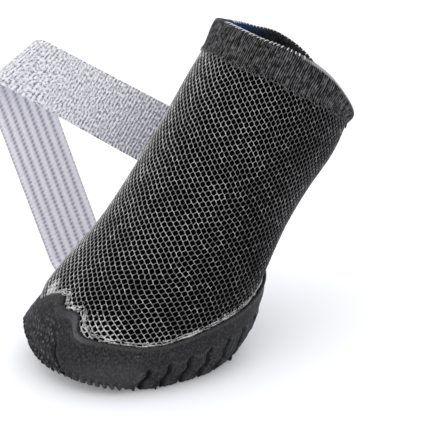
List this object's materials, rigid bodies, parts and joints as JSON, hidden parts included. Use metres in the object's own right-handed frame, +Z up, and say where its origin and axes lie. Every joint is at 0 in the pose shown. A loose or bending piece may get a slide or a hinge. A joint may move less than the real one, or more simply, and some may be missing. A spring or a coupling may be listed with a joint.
{
  "type": "dog boot",
  "caption": "Dog boot with a lugged rubber cup sole, an open mesh sock, a rib-knit collar binding and a loose webbing strap",
  "frame": {"origin": "centre of the tread's middle bar, on the ground plane", "axes": "+Z up out of the ground, -Y towards the toe, +X towards the boot's left side, which the picture shows"},
  "size_m": [0.1065, 0.1053, 0.0972],
  "materials": {
    "rubber": "matt moulded charcoal rubber with fine grain, scuffs and traces of glue",
    "mesh_cloth": "open black net of fine grey threads over a dark lining",
    "rib_knit": "charcoal rib knit with an overlocked edge",
    "insole_felt": "matt dark felt",
    "webbing": "pale grey woven webbing with a brushed pile face"
  },
  "bodies": {
    "root": {"outsole": "rubber", "upper": "mesh_cloth", "collar_binding": "rib_knit", "insole": "insole_felt", "strap": "webbing"}
  },
  "joints": []
}
